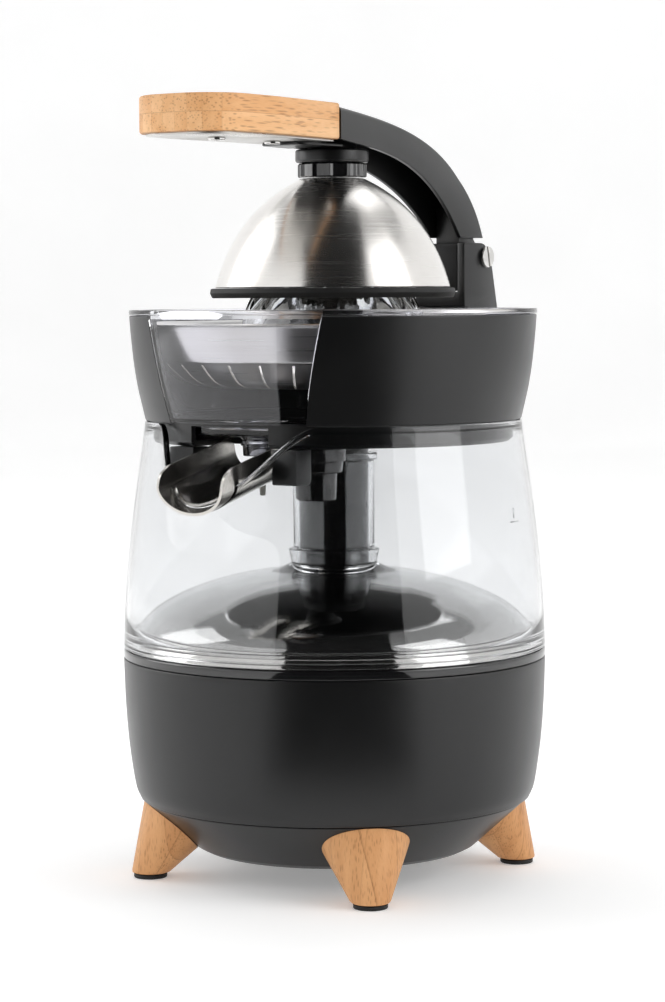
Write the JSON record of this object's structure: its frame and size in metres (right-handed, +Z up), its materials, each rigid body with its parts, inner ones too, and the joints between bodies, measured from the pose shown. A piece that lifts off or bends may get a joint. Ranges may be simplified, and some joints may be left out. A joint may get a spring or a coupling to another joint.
{
  "type": "citrus press juicer",
  "caption": "Electric lever citrus juicer: black motor base on wooden legs, clear jug, steel spout, strainer and reamer under a hinged press dome.",
  "frame": {"origin": "on the drive axis at table level, under the foot pads; it is the centre of the bounding box's bottom", "axes": "+Z up along the drive axis, -Y to the front where the spout and handle point, +X to the object's side on the right when facing it from the front"},
  "size_m": [0.1902, 0.236, 0.344],
  "materials": {
    "black_satin_plastic": "fine satin texture",
    "clear_plastic": "clear gloss",
    "brushed_steel": "brushed",
    "polished_steel": "polished",
    "bamboo": "satin oiled",
    "black_rubber": "matte",
    "bearing_plastic": "satin",
    "gear_bronze": "satin",
    "zinc_plate": "satin",
    "circuit_board": "satin"
  },
  "bodies": {
    "base": {"base_housing": "black_satin_plastic", "base_trim_ring": "black_satin_plastic", "motor_dome": "polished_steel", "bottom_cover": "black_satin_plastic", "leg_front_left": "bamboo", "leg_front_right": "bamboo", "leg_rear_left": "bamboo", "leg_rear_right": "bamboo", "foot_pad_front_left": "black_rubber", "foot_pad_front_right": "black_rubber", "foot_pad_rear_left": "black_rubber", "foot_pad_rear_right": "black_rubber", "gearbox_plate": "zinc_plate", "motor": "zinc_plate", "lower_bearing": "polished_steel", "upper_bush": "bearing_plastic", "drive_column": "black_satin_plastic", "start_switch": "black_satin_plastic", "switch_post": "black_satin_plastic", "control_board": "circuit_board", "cord_gland": "black_rubber"},
    "motor_rotor": {"motor_shaft": "polished_steel", "motor_pinion": "gear_bronze"},
    "drive": {"output_gear": "bearing_plastic", "drive_shaft": "polished_steel"},
    "jug": {"juice_jug": "clear_plastic"},
    "upper_unit": {"upper_housing": "black_satin_plastic", "drain_nozzle": "black_satin_plastic", "juice_collector": "clear_plastic", "strainer": "brushed_steel", "spout_bracket_left": "black_satin_plastic", "spout_bracket_right": "black_satin_plastic", "hinge_tower": "black_satin_plastic", "tower_cover": "black_satin_plastic", "hinge_pin": "polished_steel", "hinge_screw_left": "polished_steel", "hinge_screw_right": "polished_steel"},
    "spout": {"spout": "brushed_steel", "spout_pin_left": "polished_steel", "spout_pin_right": "polished_steel", "drip_peg": "bearing_plastic"},
    "reamer": {"reamer_core": "black_satin_plastic", "reamer_cone": "clear_plastic"},
    "lever": {"lever_arm": "black_satin_plastic", "arm_lug": "black_satin_plastic", "handle_plate": "bamboo", "handle_tongue": "brushed_steel", "handle_screw_front": "polished_steel", "handle_screw_rear": "polished_steel", "dome_socket": "black_satin_plastic"},
    "press": {"press_dome": "brushed_steel", "dome_gasket": "black_rubber", "lock_collar": "black_satin_plastic"}
  },
  "joints": [
    {"name": "jug_lift", "type": "slide", "parent": "base", "child": "jug", "axis": [0, 0, 1], "range_m": [0, 0.14]},
    {"name": "upper_lift", "type": "slide", "parent": "jug", "child": "upper_unit", "axis": [0, 0, 1], "range_m": [0, 0.08]},
    {"name": "lever_hinge", "type": "hinge", "parent": "upper_unit", "child": "lever", "pos_m": [0, 0.107, 0.2784], "axis": [-1, 0, 0], "range_deg": [0, 95]},
    {"name": "dome_twist", "type": "hinge", "parent": "lever", "child": "press", "pos_m": [0, 0, 0.316], "axis": [0, 0, 1], "range_deg": [0, 30]},
    {"name": "spout_tilt", "type": "hinge", "parent": "upper_unit", "child": "spout", "pos_m": [0, -0.0705, 0.1885], "axis": [-1, 0, 0], "range_deg": [0, 13]},
    {"name": "shaft_spin", "type": "hinge", "parent": "base", "child": "drive", "pos_m": [0, 0, 0.1], "axis": [0, 0, 1], "continuous": true},
    {"name": "motor_spin", "type": "hinge", "parent": "base", "child": "motor_rotor", "pos_m": [-0.039, 0, 0.08], "axis": [0, 0, 1], "continuous": true},
    {"name": "reamer_spin", "type": "hinge", "parent": "upper_unit", "child": "reamer", "pos_m": [0, 0, 0.245], "axis": [0, 0, 1], "continuous": true}
  ],
  "couplings": [
    {"joint": "motor_spin", "follows": "shaft_spin", "ratio": -3.3333},
    {"joint": "reamer_spin", "follows": "shaft_spin", "ratio": 1}
  ]
}
